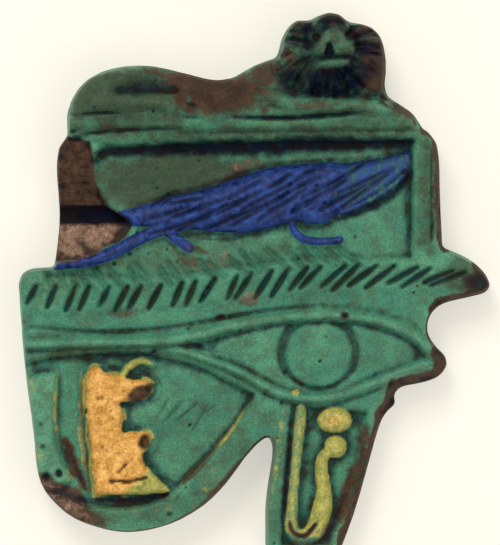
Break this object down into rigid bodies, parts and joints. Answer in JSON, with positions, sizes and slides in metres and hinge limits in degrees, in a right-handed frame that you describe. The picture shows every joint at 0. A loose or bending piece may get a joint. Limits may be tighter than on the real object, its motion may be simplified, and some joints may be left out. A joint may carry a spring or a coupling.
{
  "type": "composite wedjat amulet",
  "caption": "Flat-backed eye amulet in coloured glazed faience, with a lion lying on top, a crocodile in a sunk panel, a seated figure on the cheek and a cobra on the drop.",
  "frame": {"origin": "middle of the amulet's bounding box on the flat back", "axes": "+Z out of the carved face, +Y towards the lion on top, +X towards the outer corner of the eye"},
  "size_m": [0.066, 0.0758, 0.0127],
  "materials": {
    "faience": "moulded green faience with blue, yellow and yellow-green glazes, worn to the brown core at the broken left end, the right edges and the lion"
  },
  "bodies": {
    "root": {"wedjat_amulet": "faience"}
  },
  "joints": []
}
